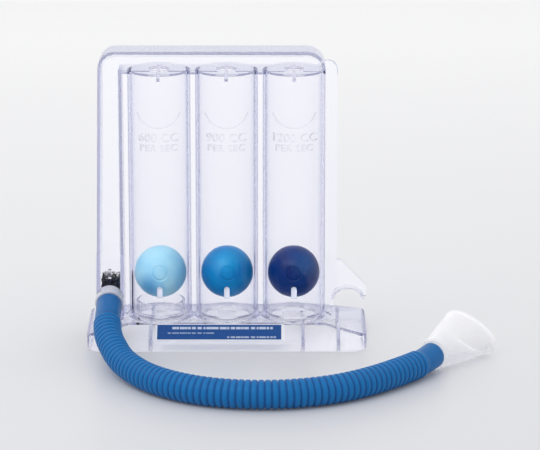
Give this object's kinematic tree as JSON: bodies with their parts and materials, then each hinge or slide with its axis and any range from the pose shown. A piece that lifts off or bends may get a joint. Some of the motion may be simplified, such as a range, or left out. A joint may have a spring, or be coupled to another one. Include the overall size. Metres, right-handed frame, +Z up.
{
  "type": "breathing trainer",
  "caption": "Clear breathing trainer with floating balls in upright chambers, an air duct, a hose clip, a corrugated hose and a flared mouthpiece",
  "frame": {"origin": "middle of the base on the table, under the middle chamber, in the plane where the two shells meet", "axes": "+X to the side with the hose clip, +Y to the back, +Z up; the label and the port face -Y"},
  "size_m": [0.1981, 0.1493, 0.144],
  "materials": {
    "clear_shell": "clear moulded polystyrene, glossy",
    "ball_light": "light blue moulded plastic, soft gloss",
    "ball_mid": "mid blue moulded plastic, soft gloss",
    "ball_navy": "navy blue moulded plastic, soft gloss",
    "clear_disc": "clear moulded plastic",
    "filter": "dark open-cell foam",
    "clear_fitting": "clear to milky moulded plastic",
    "hose": "blue corrugated soft polyethylene, satin",
    "mouthpiece": "translucent milky moulded plastic",
    "label": "printed film, blue on white"
  },
  "bodies": {
    "body": {"front_shell": "clear_shell", "rear_shell": "clear_shell", "inlet_disc_left": "clear_disc", "inlet_disc_middle": "clear_disc", "inlet_disc_right": "clear_disc", "filter_foam": "filter", "port_nipple": "clear_fitting", "hose": "hose", "label": "label"},
    "ball_left": {"ball_left": "ball_light"},
    "ball_middle": {"ball_middle": "ball_mid"},
    "ball_right": {"ball_right": "ball_navy"},
    "mouthpiece": {"mouthpiece": "mouthpiece"}
  },
  "joints": [
    {"name": "left_ball_rise", "type": "slide", "parent": "body", "child": "ball_left", "axis": [0, 0, 1], "range_m": [0, 0.086]},
    {"name": "middle_ball_rise", "type": "slide", "parent": "body", "child": "ball_middle", "axis": [0, 0, 1], "range_m": [0, 0.086]},
    {"name": "right_ball_rise", "type": "slide", "parent": "body", "child": "ball_right", "axis": [0, 0, 1], "range_m": [0, 0.086]},
    {"name": "mouthpiece_pull", "type": "slide", "parent": "body", "child": "mouthpiece", "axis": [0.5436, 0.8369, 0.0644], "range_m": [0, 0.03]}
  ]
}
